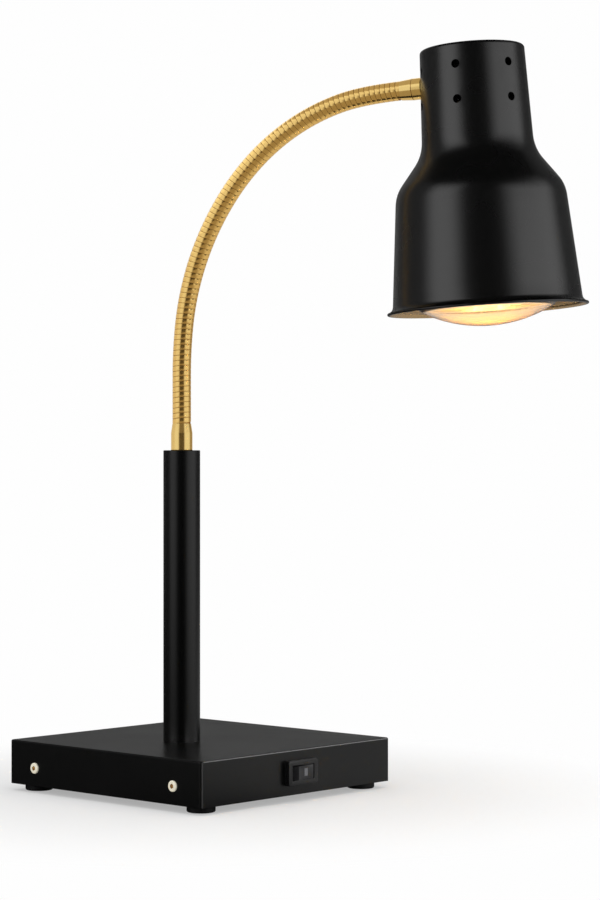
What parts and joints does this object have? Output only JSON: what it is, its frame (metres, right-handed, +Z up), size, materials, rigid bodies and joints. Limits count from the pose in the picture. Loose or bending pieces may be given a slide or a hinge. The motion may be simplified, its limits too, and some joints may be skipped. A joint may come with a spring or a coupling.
{
  "type": "infrared heat therapy lamp",
  "caption": "Table heat lamp with a reflector bulb in a vented shade on a gooseneck and pole, on a weighted square base with a rocker switch.",
  "frame": {"origin": "on the floor under the centre of the whole lamp's bounding box", "axes": "+Z up; -Y is the front, towards which the switch looks; the pole stands left of the base's centre, towards -X"},
  "size_m": [0.2881, 0.4663, 0.6341],
  "materials": {
    "black_powder": "satin black powder coat",
    "satin_brass": "satin brass",
    "zinc_steel": "zinc plated",
    "black_plastic": "fine satin",
    "grey_window": "gloss",
    "black_rubber": "matt",
    "terminal_plastic": "satin",
    "contact_brass": "bright",
    "holder_ceramic": "glazed",
    "cap_nickel": "nickel plated",
    "cap_insulator": "black vitreous",
    "bulb_glass": "clear, warm lit, mirrored inside its bowl",
    "stem_glass": "clear",
    "hot_filament": "glowing tungsten",
    "lead_wire": "bare wire"
  },
  "bodies": {
    "base": {"base_cover": "black_powder", "base_tray": "black_powder", "ballast_plate": "zinc_steel", "ballast_screws": "zinc_steel", "rubber_feet": "black_rubber", "foot_screws": "zinc_steel", "side_screws": "satin_brass", "gland_body": "black_plastic", "gland_seal": "black_rubber", "gland_dome_nut": "black_plastic", "gland_locknut": "black_plastic", "terminal_block": "terminal_plastic", "terminal_screws": "zinc_steel", "switch_housing": "black_plastic", "switch_terminals": "contact_brass", "pole_tube": "black_powder", "pole_foot_plug": "zinc_steel", "pole_stud": "zinc_steel", "pole_washer": "zinc_steel", "pole_nut": "zinc_steel", "pole_cap": "black_powder", "lower_ferrule": "satin_brass", "lower_nipple": "zinc_steel", "lower_nipple_nut": "zinc_steel", "gooseneck_root": "satin_brass"},
    "rocker": {"switch_rocker": "black_plastic", "rocker_window": "grey_window"},
    "neck_link_1": {"gooseneck_link_1": "satin_brass"},
    "neck_link_2": {"gooseneck_link_2": "satin_brass"},
    "neck_link_3": {"gooseneck_link_3": "satin_brass"},
    "neck_link_4": {"gooseneck_link_4": "satin_brass"},
    "neck_link_5": {"gooseneck_link_5": "satin_brass"},
    "neck_link_6": {"gooseneck_link_6": "satin_brass"},
    "neck_link_7": {"gooseneck_link_7": "satin_brass"},
    "neck_link_8": {"gooseneck_link_8": "satin_brass"},
    "head": {"gooseneck_tip": "satin_brass", "upper_ferrule": "satin_brass", "upper_nipple": "zinc_steel", "saddle_washer": "zinc_steel", "upper_nut": "zinc_steel", "shade": "black_powder", "holder_bracket": "zinc_steel", "holder_screws": "zinc_steel", "lamp_holder": "holder_ceramic", "holder_sleeve": "contact_brass", "holder_contact": "contact_brass", "bulb_glass": "bulb_glass", "bulb_cap": "cap_nickel", "bulb_insulator": "cap_insulator", "bulb_tip": "contact_brass", "bulb_stem": "stem_glass", "bulb_filament": "hot_filament", "filament_leads": "lead_wire"}
  },
  "joints": [
    {"name": "neck_bend_1", "type": "hinge", "parent": "base", "child": "neck_link_1", "pos_m": [-0.04813, 0.10345, 0.34066], "axis": [0.9239, 0.3827, 0], "range_deg": [-18, 12]},
    {"name": "neck_swing_1", "type": "hinge", "parent": "neck_link_1", "child": "neck_link_2", "pos_m": [-0.04813, 0.10345, 0.38257], "axis": [-0.3822, 0.9227, 0.0508], "range_deg": [-15, 15]},
    {"name": "neck_bend_2", "type": "hinge", "parent": "neck_link_2", "child": "neck_link_3", "pos_m": [-0.0465, 0.09952, 0.42428], "axis": [0.9239, 0.3827, 0], "range_deg": [-18, 12]},
    {"name": "neck_swing_2", "type": "hinge", "parent": "neck_link_3", "child": "neck_link_4", "pos_m": [-0.04215, 0.08901, 0.46462], "axis": [-0.358, 0.8642, 0.3536], "range_deg": [-15, 15]},
    {"name": "neck_bend_3", "type": "hinge", "parent": "neck_link_4", "child": "neck_link_5", "pos_m": [-0.0352, 0.07223, 0.5024], "axis": [0.9239, 0.3827, 0], "range_deg": [-18, 12]},
    {"name": "neck_swing_3", "type": "hinge", "parent": "neck_link_5", "child": "neck_link_6", "pos_m": [-0.02587, 0.0497, 0.53649], "axis": [-0.2863, 0.6912, 0.6635], "range_deg": [-15, 15]},
    {"name": "neck_bend_4", "type": "hinge", "parent": "neck_link_6", "child": "neck_link_7", "pos_m": [-0.01403, 0.02112, 0.56478], "axis": [0.9239, 0.3827, 0], "range_deg": [-18, 12]},
    {"name": "neck_swing_4", "type": "hinge", "parent": "neck_link_7", "child": "neck_link_8", "pos_m": [-0.00006, -0.01261, 0.58538], "axis": [-0.1491, 0.3599, 0.921], "range_deg": [-15, 15]},
    {"name": "neck_bend_5", "type": "hinge", "parent": "neck_link_8", "child": "head", "pos_m": [0.01533, -0.04975, 0.59723], "axis": [0.9239, 0.3827, 0], "range_deg": [-18, 12]},
    {"name": "rocker_tip", "type": "hinge", "parent": "base", "child": "rocker", "pos_m": [-0.02513, -0.01105, 0.025], "axis": [0, 0, -1], "range_deg": [0, 14]}
  ]
}
